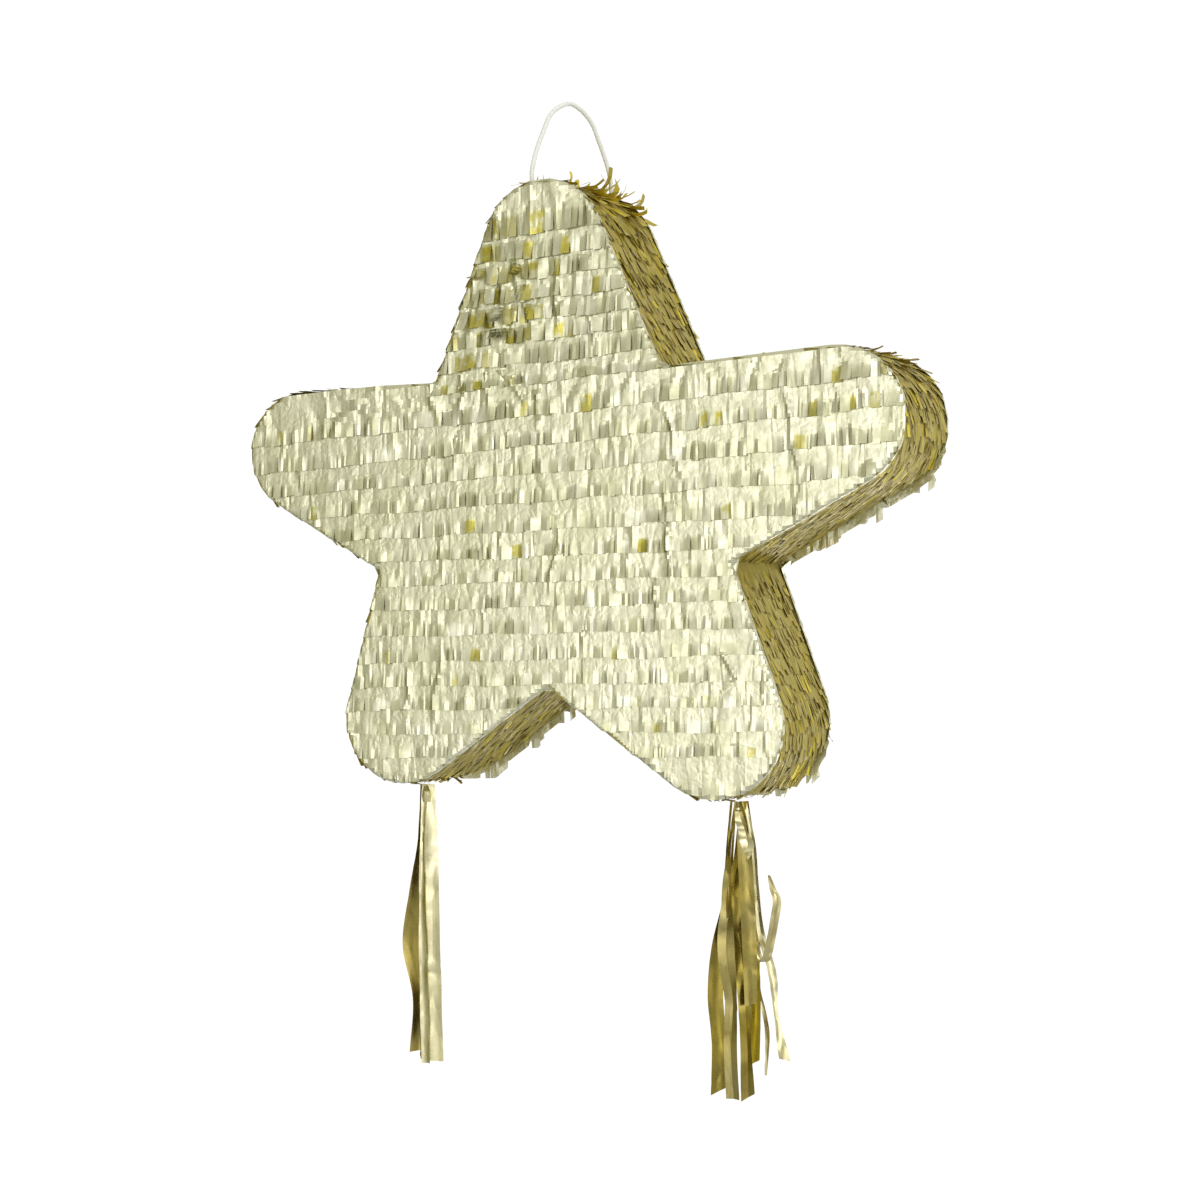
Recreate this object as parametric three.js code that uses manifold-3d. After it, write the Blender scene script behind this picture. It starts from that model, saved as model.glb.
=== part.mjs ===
// A hanging star pinata: a hollow cardboard star covered with shingled strips of gold
// foil fringe, hung from a white cord loop, with a foil tassel under each lower point.
//
// Millimetres. X runs across the star, Y from its front (-Y) to its back (+Y), Z up.
// The origin is the underside of the cord loop's top, where a hook carries the pinata.
// Heights in the constants below are measured from the middle of the star.
import * as THREE from 'three';
import { mergeVertices } from 'three/addons/utils/BufferGeometryUtils.js';
import Module from 'manifold-3d';

const wasm = await Module();
wasm.setup();

// ---- the star ----
const STAR_BELOW_ORIGIN = 198;          // from the hook down to the middle of the star
// Each point of the star is a rounded tip: the middle of its arc, and the arc's radius.
const TIPS = [
  { name: 'top', x: -1, z: 127.5, radius: 31 },
  { name: 'right', x: 143.5, z: 39, radius: 33 },
  { name: 'lower_right', x: 80.5, z: -100.5, radius: 35 },
  { name: 'lower_left', x: -81, z: -98.5, radius: 31 },
  { name: 'left', x: -132.5, z: 34, radius: 30.5 },
];
// The inner corners, clockwise from the one between the top and the right points.
const CORNERS = [[58, 66.5], [91.5, -25.5], [-3, -82.5], [-92, -25.5], [-59, 64.5]];
const ARC_STEPS = 12;

// ---- the shell, from the outside in ----
const HALF_DEPTH = 36;                  // to the outer faces of the fringe, front and back
const GAP = 0.3;                        // between two pieces that touch
const FOIL = 0.6;                       // one layer of fringe, with the air under it
const PANEL = 2.5;                      // front and back cardboard
const WALL = 2;                         // side cardboard
const WALL_INSET = 2;                   // from the fringe's outline in to the cardboard
const FRINGE_EDGE_INSET = 0.2;
const TUCK = 3;                         // header of a strip that is hidden under the next one up

// ---- front and back fringe: the height at which each strip's cut ends hang ----
const TOP_ARM_ENDS = [132.5, 121.5, 111.5, 101.5, 91.5, 82, 71.5, 62];
const BODY_ENDS = [46.5, 32.5, 19, 5.5, -8, -20.5, -32.5, -44.5, -57, -69.5, -81.5, -93, -104.5, -116];
const LAST_END = -140;                  // below the lower points, so the outline trims it
const FIRST_HEADER = 162;               // above the top point, so the outline trims it
const ARMS_HEADER = 70.2;               // the first strip that reaches across both arms

// ---- side fringe ----
const SIDE_PITCH = 12;
const SIDE_LOW = 0.4;                   // thickness at a strip's glued edge
const SIDE_HIGH = 1.5;                  // thickness at its loose ends
const SIDE_STEP = 5;

// ---- the fill flap in the back ----
const FLAP = { halfWidth: 42, top: 30, bottom: -26, clearance: 0.5, hingeRelief: 2.4 };

// ---- the hanging cord ----
const CORD_RADIUS = 1.1;
const CORD_SIDES = 8;
const CORD_STEPS = 24;
const EXIT = { x: 8.5, y: 28 };         // each end leaves the top point this far off centre
const SWING_HEIGHT = 161.5;             // the star swings about a line through the two exits
const SWING_CLEARANCE = 1.2;
// Half of the loop: distance along the line of the exits, and height above the swing line.
const LOOP = [[29.3, 1.2], [28.4, 5], [26.6, 10], [24, 15.5], [20.4, 22], [15.6, 29.8], [8.6, 35], [0, 37.6]];
const SLAT = { length: 60, width: 12, thickness: 4, top: 149.2 };
const KNOT_RADIUS = 3.4;
const HOLE_RADIUS = 1.8;

// ---- the tassels ----
const TASSELS = [
  { name: 'left', x: -86, pivot: -132.2, length: 134 },
  { name: 'right', x: 80.5, pivot: -138.4, length: 132 },
];
const TIE_RADIUS = 1.2;
const HEAD_RADIUS = 4.5;                // the tie's head, inside the tip
const NECK_LENGTH = 9;
const STREAMER = { width: 10, neck: 2.6, thickness: 0.5, shoulder: 16 };
// Each streamer: offset front to back, lean front to back, lean sideways, share of the length.
const STREAMERS = [
  { y: -1.5, pitch: -1.6, roll: 2.2, share: 0.96 },
  { y: -0.5, pitch: -0.5, roll: -2.4, share: 1 },
  { y: 0.5, pitch: 0.6, roll: 1.2, share: 0.93 },
  { y: 1.5, pitch: 1.7, roll: -1, share: 0.98 },
];

const degrees = THREE.MathUtils.degToRad;

// ---- materials ----
const foil = new THREE.MeshStandardMaterial({ color: 0xd9d3a0, roughness: 0.34, metalness: 0.9 });
const sideFoil = new THREE.MeshStandardMaterial({ color: 0xa8924a, roughness: 0.36, metalness: 0.9 });
const card = new THREE.MeshStandardMaterial({ color: 0xb08a5c, roughness: 0.9, metalness: 0 });
const cord = new THREE.MeshStandardMaterial({ color: 0xeceae4, roughness: 0.8, metalness: 0 });
const wood = new THREE.MeshStandardMaterial({ color: 0xc8a572, roughness: 0.75, metalness: 0 });

const pinata = new THREE.Group();
pinata.name = 'pinata';
const star = new THREE.Group();
star.position.z = -STAR_BELOW_ORIGIN;
pinata.add(star);

// ---- solids ----

function toSolid(geometry) {
  const bare = geometry.clone();
  bare.deleteAttribute('normal');
  bare.deleteAttribute('uv');
  const merged = mergeVertices(bare, 1e-4);
  return new wasm.Manifold(new wasm.Mesh({
    numProp: 3,
    vertProperties: new Float32Array(merged.attributes.position.array),
    triVerts: new Uint32Array(merged.index.array),
  }));
}

function toGeometry(solid) {
  const mesh = solid.getMesh();
  const geometry = new THREE.BufferGeometry();
  geometry.setAttribute('position', new THREE.BufferAttribute(new Float32Array(mesh.vertProperties), 3));
  geometry.setIndex(new THREE.BufferAttribute(new Uint32Array(mesh.triVerts), 1));
  geometry.computeVertexNormals();
  return geometry;
}

function addPiece(parent, name, geometry, material) {
  const mesh = new THREE.Mesh(geometry, material);
  mesh.name = name;
  parent.add(mesh);
  return mesh;
}

// A flat outline of [x, z] points, given thickness between two depths.
function slab(points, frontY, backY) {
  const shape = new THREE.Shape(points.map(([x, z]) => new THREE.Vector2(x, z)));
  const geometry = new THREE.ExtrudeGeometry(shape, { depth: backY - frontY, bevelEnabled: false });
  geometry.rotateX(Math.PI / 2);
  geometry.translate(0, backY, 0);
  return geometry;
}

function upright(radius, x, y, lowZ, highZ) {
  const geometry = new THREE.CylinderGeometry(radius, radius, highZ - lowZ, 12);
  geometry.rotateX(Math.PI / 2);
  geometry.translate(x, y, (lowZ + highZ) / 2);
  return geometry;
}

// ---- the star's outline ----
// Each point has two straight flanks that run from its inner corners to its arc. A flank is
// held as its outward normal's angle, so moving it inwards keeps its direction.

const cornerBefore = (index) => CORNERS[(index + CORNERS.length - 1) % CORNERS.length];

function flankAngle(tip, corner, side) {
  const dx = corner[0] - tip.x;
  const dz = corner[1] - tip.z;
  return Math.atan2(dz, dx) + side * Math.acos(tip.radius / Math.hypot(dx, dz));
}

for (const [index, tip] of TIPS.entries()) {
  tip.leftAngle = flankAngle(tip, cornerBefore(index), -1);
  tip.rightAngle = flankAngle(tip, CORNERS[index], 1);
  while (tip.rightAngle > tip.leftAngle) {
    tip.rightAngle -= 2 * Math.PI;
  }
  while (tip.rightAngle < tip.leftAngle - 2 * Math.PI) {
    tip.rightAngle += 2 * Math.PI;
  }
}

// Where the right flank of one point meets the left flank of the next, both moved in.
function innerCorner(index, inset) {
  const tip = TIPS[index];
  const next = TIPS[(index + 1) % TIPS.length];
  const [a, b] = [tip.rightAngle, next.leftAngle];
  const reachA = tip.x * Math.cos(a) + tip.z * Math.sin(a) + tip.radius - inset;
  const reachB = next.x * Math.cos(b) + next.z * Math.sin(b) + next.radius - inset;
  const cross = Math.cos(a) * Math.sin(b) - Math.sin(a) * Math.cos(b);
  return [
    (reachA * Math.sin(b) - reachB * Math.sin(a)) / cross,
    (reachB * Math.cos(a) - reachA * Math.cos(b)) / cross,
  ];
}

const onArc = (tip, angle, inset) => [
  tip.x + (tip.radius - inset) * Math.cos(angle),
  tip.z + (tip.radius - inset) * Math.sin(angle),
];

function starOutline(inset) {
  const points = [];
  for (const [index, tip] of TIPS.entries()) {
    points.push(innerCorner((index + TIPS.length - 1) % TIPS.length, inset));
    for (let step = 0; step <= ARC_STEPS; step += 1) {
      const angle = THREE.MathUtils.lerp(tip.leftAngle, tip.rightAngle, step / ARC_STEPS);
      points.push(onArc(tip, angle, inset));
    }
  }
  return points;
}

// The way round one point, from corner to corner at one inset, measured along itself.
function tipPath(index, inset) {
  const tip = TIPS[index];
  const start = innerCorner((index + TIPS.length - 1) % TIPS.length, inset);
  const end = innerCorner(index, inset);
  const arcStart = onArc(tip, tip.leftAngle, inset);
  const arcEnd = onArc(tip, tip.rightAngle, inset);
  const leftLength = Math.hypot(arcStart[0] - start[0], arcStart[1] - start[1]);
  const arcLength = (tip.leftAngle - tip.rightAngle) * (tip.radius - inset);
  const rightLength = Math.hypot(end[0] - arcEnd[0], end[1] - arcEnd[1]);
  const length = leftLength + arcLength + rightLength;
  const at = (distance, lift = 0) => {
    if (distance > leftLength && distance < leftLength + arcLength) {
      const angle = tip.leftAngle - (distance - leftLength) / (tip.radius - inset);
      return onArc(tip, angle, inset - lift);
    }
    const onLeft = distance <= leftLength;
    const [from, to] = onLeft ? [start, arcStart] : [arcEnd, end];
    const share = onLeft ? distance / leftLength : (distance - leftLength - arcLength) / rightLength;
    const angle = onLeft ? tip.leftAngle : tip.rightAngle;
    return [
      THREE.MathUtils.lerp(from[0], to[0], share) + lift * Math.cos(angle),
      THREE.MathUtils.lerp(from[1], to[1], share) + lift * Math.sin(angle),
    ];
  };
  return { length, at };
}

// ---- panels ----

const PANEL_OUTER = HALF_DEPTH - 2 * FOIL - 2 * GAP;
const PANEL_INNER = PANEL_OUTER - PANEL;
const panelOutline = starOutline(WALL_INSET);

addPiece(star, 'front_panel', slab(panelOutline, -PANEL_OUTER, -PANEL_INNER), card);

function rectangle(halfWidth, lowZ, highZ) {
  return [[-halfWidth, lowZ], [halfWidth, lowZ], [halfWidth, highZ], [-halfWidth, highZ]];
}
const fillHole = rectangle(FLAP.halfWidth, FLAP.bottom, FLAP.top);
const fillHoleCut = toSolid(slab(fillHole, PANEL_INNER - 5, HALF_DEPTH + 5));
const backPanel = toSolid(slab(panelOutline, PANEL_INNER, PANEL_OUTER)).subtract(fillHoleCut);
addPiece(star, 'back_panel', toGeometry(backPanel), card);

// ---- side walls and side fringe, one of each round every point ----

const cordExits = [{ x: -EXIT.x, y: -EXIT.y }, { x: EXIT.x, y: EXIT.y }];

function holesFor(tipName) {
  if (tipName === 'top') {
    return cordExits.map(({ x, y }) => toSolid(upright(HOLE_RADIUS, x, y, 140, 170)));
  }
  const tassel = TASSELS.find((entry) => `lower_${entry.name}` === tipName);
  return tassel ? [toSolid(upright(HOLE_RADIUS, tassel.x, 0, -145, -115))] : [];
}

const pierce = (solid, holes) => holes.reduce((rest, hole) => rest.subtract(hole), solid);

// The piece's end faces stand back from the corner, clear of the piece round the next point.
const CORNER_GAP = 0.25;
const CORNER_MITRE = 2.2;

function wallOutline(index) {
  const outer = tipPath(index, WALL_INSET);
  const inner = tipPath(index, WALL_INSET + WALL);
  const points = [];
  const steps = 24;
  for (let step = 0; step <= steps; step += 1) {
    points.push(outer.at(THREE.MathUtils.lerp(CORNER_GAP, outer.length - CORNER_GAP, step / steps)));
  }
  for (let step = steps; step >= 0; step -= 1) {
    points.push(inner.at(THREE.MathUtils.lerp(CORNER_GAP, inner.length - CORNER_GAP, step / steps)));
  }
  return points;
}

// Strips overlap like shingles with their loose ends down the slope. Their thickness is
// listed along the path: thin where a strip is glued, thick where its ends stand off.
function shingleHeights(path) {
  const samples = 200;
  const heights = [];
  for (let step = 0; step <= samples; step += 1) {
    heights.push(path.at((path.length * step) / samples)[1]);
  }
  const rises = heights[samples / 2] > heights[0];
  const extreme = rises ? Math.max(...heights) : Math.min(...heights);
  const turn = (path.length * heights.indexOf(extreme)) / samples;
  const profile = [];
  const addRun = (from, to, looseEndsForward) => {
    const count = Math.max(1, Math.round((to - from) / SIDE_PITCH));
    for (let row = 0; row < count; row += 1) {
      const start = THREE.MathUtils.lerp(from, to, row / count);
      const end = THREE.MathUtils.lerp(from, to, (row + 1) / count);
      profile.push([start, looseEndsForward ? SIDE_LOW : SIDE_HIGH]);
      profile.push([end, looseEndsForward ? SIDE_HIGH : SIDE_LOW]);
    }
  };
  addRun(CORNER_GAP + CORNER_MITRE, turn, !rises);
  addRun(turn, path.length - CORNER_GAP - CORNER_MITRE, rises);
  return profile;
}

function shingleOutline(index) {
  const path = tipPath(index, WALL_INSET - GAP);
  const profile = shingleHeights(path);
  const points = [];
  for (const [entry, [distance, lift]] of profile.entries()) {
    points.push(path.at(distance, lift));
    const next = profile[entry + 1];
    const pieces = next ? Math.ceil((next[0] - distance) / SIDE_STEP) : 0;
    for (let piece = 1; piece < pieces; piece += 1) {
      const share = piece / pieces;
      const along = THREE.MathUtils.lerp(distance, next[0], share);
      points.push(path.at(along, THREE.MathUtils.lerp(lift, next[1], share)));
    }
  }
  const back = Math.ceil(path.length / SIDE_STEP);
  for (let step = back; step >= 0; step -= 1) {
    points.push(path.at(THREE.MathUtils.lerp(CORNER_GAP, path.length - CORNER_GAP, step / back)));
  }
  return points;
}

for (const [index, tip] of TIPS.entries()) {
  const holes = holesFor(tip.name);
  const wall = toSolid(slab(wallOutline(index), -PANEL_INNER + GAP, PANEL_INNER - GAP));
  addPiece(star, `side_wall_${tip.name}`, toGeometry(pierce(wall, holes)), card);
  const fringe = toSolid(slab(shingleOutline(index), -PANEL_OUTER, PANEL_OUTER));
  addPiece(star, `side_fringe_${tip.name}`, toGeometry(pierce(fringe, holes)), sideFoil);
}

// ---- front fringe: one strip above another ----
// A strip's edges tilt a little, more so higher up, as they do when it's laid by hand.

const tilt = (height) => Math.tan(degrees(0.6 + 2.8 * THREE.MathUtils.clamp((height + 25) / 57, 0, 1)));
const REACH = 190;

// The flat band between two tilted edges, each given as its height and a shift from it.
function band(top, topShift, bottom, bottomShift, frontY, backY) {
  const edge = (height, shift, x) => [x, height + shift + x * tilt(height)];
  return toSolid(slab([
    edge(bottom, bottomShift, -REACH),
    edge(bottom, bottomShift, REACH),
    edge(top, topShift, REACH),
    edge(top, topShift, -REACH),
  ], frontY, backY));
}

const starPrism = toSolid(slab(starOutline(FRINGE_EDGE_INSET), -HALF_DEPTH, -PANEL_OUTER));
const OUTER_FACE = -HALF_DEPTH;
const LAYER_FACE = -HALF_DEPTH + FOIL;
const HEADER_BACK = -PANEL_OUTER - GAP;
const HEADER_FRONT = HEADER_BACK - FOIL;

// A strip: its header lies on the panel under the strip above, then steps out over the
// header of the strip below. The two strips without one above them have a full header.
function fringeStrip(start, end, header) {
  const tucked = header === undefined;
  const headerTop = tucked ? TUCK : header - start;
  const laid = band(start, headerTop, start, -GAP - FOIL, HEADER_FRONT, HEADER_BACK);
  const step = band(start, -GAP, start, -GAP - FOIL, OUTER_FACE, HEADER_BACK);
  const hanging = band(start, -GAP, end, 0, OUTER_FACE, LAYER_FACE);
  return laid.add(step).add(hanging).intersect(starPrism);
}

const stripEnds = [...TOP_ARM_ENDS, ...BODY_ENDS, LAST_END];
const firstBodyStrip = TOP_ARM_ENDS.length;
const topArmPrism = toSolid(slab(rectangle(60, 50, FIRST_HEADER), -HALF_DEPTH - 1, -PANEL_OUTER));
stripEnds.forEach((end, row) => {
  const start = row === 0 ? TOP_ARM_ENDS[0] + 14 : stripEnds[row - 1];
  let header;
  if (row === 0) {
    header = FIRST_HEADER;
  } else if (row === firstBodyStrip) {
    header = ARMS_HEADER;
  }
  const number = String(row + 1).padStart(2, '0');
  const whole = fringeStrip(start, end, header);
  const strip = row < firstBodyStrip ? whole.intersect(topArmPrism) : whole;
  const parts = strip.decompose().filter((part) => part.volume() > 5);
  parts.sort((a, b) => a.boundingBox().min[0] - b.boundingBox().min[0]);
  const sides = parts.length === 2 ? ['_left', '_right'] : [''];
  parts.slice(0, sides.length).forEach((part, side) => {
    addPiece(star, `front_fringe_${number}${sides[side]}`, toGeometry(part), foil);
  });
});

// ---- back fringe: joined strips over each part of the star, grooved at every edge ----

const GROOVE = 0.6;
const backPrism = toSolid(slab(starOutline(FRINGE_EDGE_INSET), PANEL_OUTER + GAP, HALF_DEPTH));

function grooves(ends) {
  return ends.map((end) => toSolid(slab(
    rectangle(REACH, end - GROOVE, end),
    PANEL_OUTER + GAP + FOIL,
    HALF_DEPTH + 1,
  )));
}

function backZone(points, ends) {
  const zone = toSolid(slab(points, PANEL_OUTER, HALF_DEPTH + 1));
  return pierce(pierce(backPrism.intersect(zone), [fillHoleCut]), grooves(ends));
}

const ZONE_TOP = TOP_ARM_ENDS.at(-1);
const LEGS_TOP = -81.5;
const legEnds = BODY_ENDS.filter((end) => end < LEGS_TOP);
const half = (side) => [
  [side * GAP, LAST_END],
  [side * REACH, LAST_END],
  [side * REACH, LEGS_TOP - GAP],
  [side * GAP, LEGS_TOP - GAP],
];
const armsBelow = BODY_ENDS.filter((end) => end > LEGS_TOP);
const backZones = {
  top: backZone(rectangle(56, ZONE_TOP + GAP, FIRST_HEADER), TOP_ARM_ENDS.slice(0, -1)),
  body: backZone([
    [-REACH, LEGS_TOP], [REACH, LEGS_TOP], [REACH, 100], [57, 100],
    [57, ZONE_TOP], [-57, ZONE_TOP], [-57, 100], [-REACH, 100],
  ], armsBelow),
  lower_left: backZone(half(-1), legEnds),
  lower_right: backZone(half(1), legEnds),
};
for (const [zone, solid] of Object.entries(backZones)) {
  const largest = solid.decompose().sort((a, b) => b.volume() - a.volume())[0];
  addPiece(star, `back_fringe_${zone}`, toGeometry(largest), foil);
}

// ---- the fill flap: a cut piece of the back that folds out about its top edge ----

const flapSides = FLAP.halfWidth - FLAP.clearance;
const flapLow = FLAP.bottom + FLAP.clearance;
const flapTop = FLAP.top - FLAP.clearance;
addPiece(star, 'fill_flap', slab(rectangle(flapSides, flapLow, flapTop), PANEL_INNER, PANEL_OUTER), card);
const flapFringe = toSolid(slab(
  rectangle(flapSides, flapLow, FLAP.top - FLAP.hingeRelief),
  PANEL_OUTER + GAP,
  HALF_DEPTH,
));
const flapEnds = BODY_ENDS.filter((end) => end < FLAP.top - SIDE_PITCH / 2 && end > FLAP.bottom + TUCK);
addPiece(star, 'fill_flap_fringe', toGeometry(pierce(flapFringe, grooves(flapEnds))), foil);

// ---- the hanging cord ----
// The loop stands along the line of its two exits, nearly front to back.

const exitReach = Math.hypot(EXIT.x, EXIT.y);
const loopPoint = ([along, height]) => new THREE.Vector3(
  (EXIT.x / exitReach) * along,
  (EXIT.y / exitReach) * along,
  SWING_HEIGHT - STAR_BELOW_ORIGIN + height,
);
const loopHalf = LOOP.slice(0, -1);
const loopRoute = [
  ...loopHalf.map(([along, height]) => loopPoint([-along, height])),
  loopPoint(LOOP.at(-1)),
  ...loopHalf.reverse().map(loopPoint),
];
const cordSection = new THREE.Shape();
for (let side = 0; side < CORD_SIDES; side += 1) {
  const angle = (2 * Math.PI * (side + 0.5)) / CORD_SIDES;
  const point = [CORD_RADIUS * Math.cos(angle), CORD_RADIUS * Math.sin(angle)];
  if (side === 0) {
    cordSection.moveTo(...point);
  } else {
    cordSection.lineTo(...point);
  }
}
cordSection.closePath();
addPiece(pinata, 'hanging_cord', new THREE.ExtrudeGeometry(cordSection, {
  steps: CORD_STEPS,
  extrudePath: new THREE.CatmullRomCurve3(loopRoute),
  bevelEnabled: false,
}), cord);

// Inside the top point each end passes through a wooden slat and is knotted under it.
const slatTurn = -Math.atan2(EXIT.x, EXIT.y);
const slatGeometry = new THREE.BoxGeometry(SLAT.width, SLAT.length, SLAT.thickness);
slatGeometry.rotateZ(slatTurn);
slatGeometry.translate(0, 0, SLAT.top - SLAT.thickness / 2);
const slatHoles = cordExits.map(({ x, y }) => toSolid(upright(HOLE_RADIUS, x, y, 130, 170)));
addPiece(star, 'hanging_slat', toGeometry(pierce(toSolid(slatGeometry), slatHoles)), wood);

const knotMiddle = SLAT.top - SLAT.thickness - GAP - KNOT_RADIUS;
const knotProfile = [new THREE.Vector2(0, -KNOT_RADIUS)];
for (let step = 1; step <= 6; step += 1) {
  const angle = THREE.MathUtils.lerp(-Math.PI / 2, degrees(62), step / 6);
  knotProfile.push(new THREE.Vector2(KNOT_RADIUS * Math.cos(angle), KNOT_RADIUS * Math.sin(angle)));
}
const stubTop = SWING_HEIGHT - SWING_CLEARANCE - knotMiddle;
knotProfile.push(new THREE.Vector2(CORD_RADIUS, KNOT_RADIUS * 0.92));
knotProfile.push(new THREE.Vector2(CORD_RADIUS, stubTop));
knotProfile.push(new THREE.Vector2(0, stubTop));
['front', 'back'].forEach((side, index) => {
  const geometry = new THREE.LatheGeometry(knotProfile, 10);
  geometry.rotateX(Math.PI / 2);
  geometry.translate(cordExits[index].x, cordExits[index].y, knotMiddle);
  addPiece(star, `cord_knot_${side}`, toGeometry(toSolid(geometry)), cord);
});

// ---- the tassels ----
// A foil tie comes out through the tip's wall. The neck hangs from it and sways sideways,
// and the streamers hang from the neck and swing to the front and back.

function turned(profile, x, z) {
  const geometry = new THREE.LatheGeometry(profile.map(([r, h]) => new THREE.Vector2(r, h)), 10);
  geometry.rotateX(Math.PI / 2);
  geometry.translate(x, 0, z);
  return toGeometry(toSolid(geometry));
}

for (const tassel of TASSELS) {
  const tip = TIPS.find((entry) => entry.name === `lower_${tassel.name}`);
  const headReach = Math.abs(tassel.x - tip.x) + HEAD_RADIUS;
  const wallUnderHead = tip.z - Math.sqrt((tip.radius - WALL_INSET - WALL) ** 2 - headReach ** 2);
  const headAt = wallUnderHead + 1.2 - tassel.pivot;
  const headTop = headAt + 1.2;
  addPiece(star, `tassel_${tassel.name}_tie`, turned([
    [0, 1], [TIE_RADIUS, 1], [TIE_RADIUS, headAt], [HEAD_RADIUS, headAt], [HEAD_RADIUS, headTop], [0, headTop],
  ], tassel.x, tassel.pivot), foil);
  addPiece(star, `tassel_${tassel.name}_neck`, turned([
    [0, -NECK_LENGTH], [2.2, -NECK_LENGTH], [2.6, -6], [2.2, -3.5], [TIE_RADIUS, -1], [0, -1],
  ], tassel.x, tassel.pivot), foil);
  STREAMERS.forEach((streamer, index) => {
    const length = tassel.length * streamer.share;
    const { width, neck, thickness, shoulder } = STREAMER;
    const outline = [
      [-neck / 2, 0], [neck / 2, 0], [width / 2, -shoulder], [width / 2, -length],
      [-width / 2, -length], [-width / 2, -shoulder],
    ];
    const geometry = slab(outline, -thickness / 2, thickness / 2);
    const mesh = addPiece(star, `tassel_${tassel.name}_streamer_${index + 1}`, geometry, foil);
    mesh.position.set(tassel.x, streamer.y, tassel.pivot - NECK_LENGTH - 3.4);
    mesh.rotation.set(degrees(streamer.pitch), degrees(streamer.roll), 0);
  });
}

export default pinata;
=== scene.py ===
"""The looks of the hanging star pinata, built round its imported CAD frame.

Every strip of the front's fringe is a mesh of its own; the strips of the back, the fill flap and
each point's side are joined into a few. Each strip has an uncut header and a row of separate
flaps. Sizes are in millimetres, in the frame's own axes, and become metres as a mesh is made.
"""

import math

import bpy
import numpy as np
from mathutils import Matrix, Vector


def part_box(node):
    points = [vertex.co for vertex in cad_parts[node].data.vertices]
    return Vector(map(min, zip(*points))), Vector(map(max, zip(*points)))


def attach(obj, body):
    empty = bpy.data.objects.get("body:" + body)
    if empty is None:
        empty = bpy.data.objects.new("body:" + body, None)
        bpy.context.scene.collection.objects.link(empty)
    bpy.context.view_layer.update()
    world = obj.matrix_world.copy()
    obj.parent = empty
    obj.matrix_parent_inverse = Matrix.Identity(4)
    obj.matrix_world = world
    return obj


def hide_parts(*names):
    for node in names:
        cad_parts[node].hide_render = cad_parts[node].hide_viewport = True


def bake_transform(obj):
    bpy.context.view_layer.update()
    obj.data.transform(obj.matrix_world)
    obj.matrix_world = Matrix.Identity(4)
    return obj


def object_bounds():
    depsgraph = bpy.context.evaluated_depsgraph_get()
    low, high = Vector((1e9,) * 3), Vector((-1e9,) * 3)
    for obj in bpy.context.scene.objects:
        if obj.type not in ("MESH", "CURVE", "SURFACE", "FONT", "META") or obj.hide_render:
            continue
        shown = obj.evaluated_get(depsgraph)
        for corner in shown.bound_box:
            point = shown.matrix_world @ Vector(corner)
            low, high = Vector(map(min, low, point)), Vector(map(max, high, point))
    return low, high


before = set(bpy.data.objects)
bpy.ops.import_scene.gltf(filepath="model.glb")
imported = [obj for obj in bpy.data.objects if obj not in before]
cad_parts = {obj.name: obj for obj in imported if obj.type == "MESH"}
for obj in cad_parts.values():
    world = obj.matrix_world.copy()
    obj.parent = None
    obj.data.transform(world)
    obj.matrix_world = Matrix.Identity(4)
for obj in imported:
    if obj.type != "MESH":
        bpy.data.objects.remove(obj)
CAD_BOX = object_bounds()

MM = 0.001

# ---- camera: its place in metres, and its angles in degrees ----
CAMERA_PLACE = (0.5232, -1.1686, -0.2361)
CAMERA_YAW = 23.69
CAMERA_DOWN = 0.176
CAMERA_ROLL = -1.087
CAMERA_LENS = 79.03

# ---- light: azimuth (0 is the front, 90 is +X), elevation, the angles where it is full and
# where it is gone, and strength, which is below 0 for a patch that takes light away ----
WORLD_BASE = 0.42
WORLD_TINT = (1, 0.98, 0.68, 1)
SOFT_LIGHTS = [
    (-8, 5, 3, 22, 1.56),
    (-4, 0, 20, 50, 0.1),
    (62, 6, 8, 26, 1.3),
    (12, 38, 8, 26, 0.25),
    (80, 15, 10, 40, 0.3),
    (160, 5, 10, 50, 0.5),
    (194, -24, 12, 36, 1.7),
    (0, 90, 20, 60, 0.25),
]
DARK_PATCHES = [
    (-95, 0, 15, 50, -0.28),
    (0, -75, 10, 45, -0.2),
]
FLOOR_HEIGHT = -1100
FLOOR_RADIUS = 2000
FLOOR_SIDES = 96

# ---- fringe ----
FLAP_ACROSS = 3  # faces across a flap
FLAP_DOWN = 5  # faces down a flap
HEADER_ROWS = 3  # faces down the part of a header that shows
HEADER_STEP = 2.5  # about the height of the faces in the rest of it
TUCK = 8  # how far a header goes on under the strip above
FULL_HEADER = 4  # a CAD header longer than this is one that shows
FACE_STYLE = {
    "widths": (2.4, 5.4),  # of the flaps
    "depth": (0.3, 0.95),  # how far out a strip is under the one above, and at its ends
    "fold": 0.16,  # height of the wrinkles
    "facet": 0.048,  # height of the small creases
    "ragged": 0.25,  # how uneven the flaps' ends are
    "slant": 0.012,  # how far the flaps lean to a side
    "turn": 2,  # how far they turn to a side, in degrees
    "glint_share": 0.01,  # the share of flaps with painted gold reflection and glints where they lie flat
    "uncut": 0.46,  # the share of a strip's visible height without cuts
}
TOP_POINT_STYLE = {**FACE_STYLE, "uncut": 0.14}
BACK_STYLE = {**FACE_STYLE, "uncut": 0.44}
SIDE_STYLE = {
    "widths": (1.7, 3.8),
    "depth": (0.4, 0.95),
    "fold": 0.3,
    "facet": 0.08,
    "ragged": 1.5,
    "slant": 0.06,
    "turn": 2.5,
    "glint_share": 0.17,
    "uncut": 0.3,
}
LONG_CREASES = 30  # creases that run down over several strips of a face
TOP_POINT_START = 60  # from the star's middle up to where its top point begins
TOP_POINT_WIDTH = 125  # the strips of the top point are narrower than this
FRINGE_SHARP = 5  # a crease of more degrees than this shows as an edge
BACK_OVERHANG = 9  # how far the longest flaps of the back hang below its edge
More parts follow.
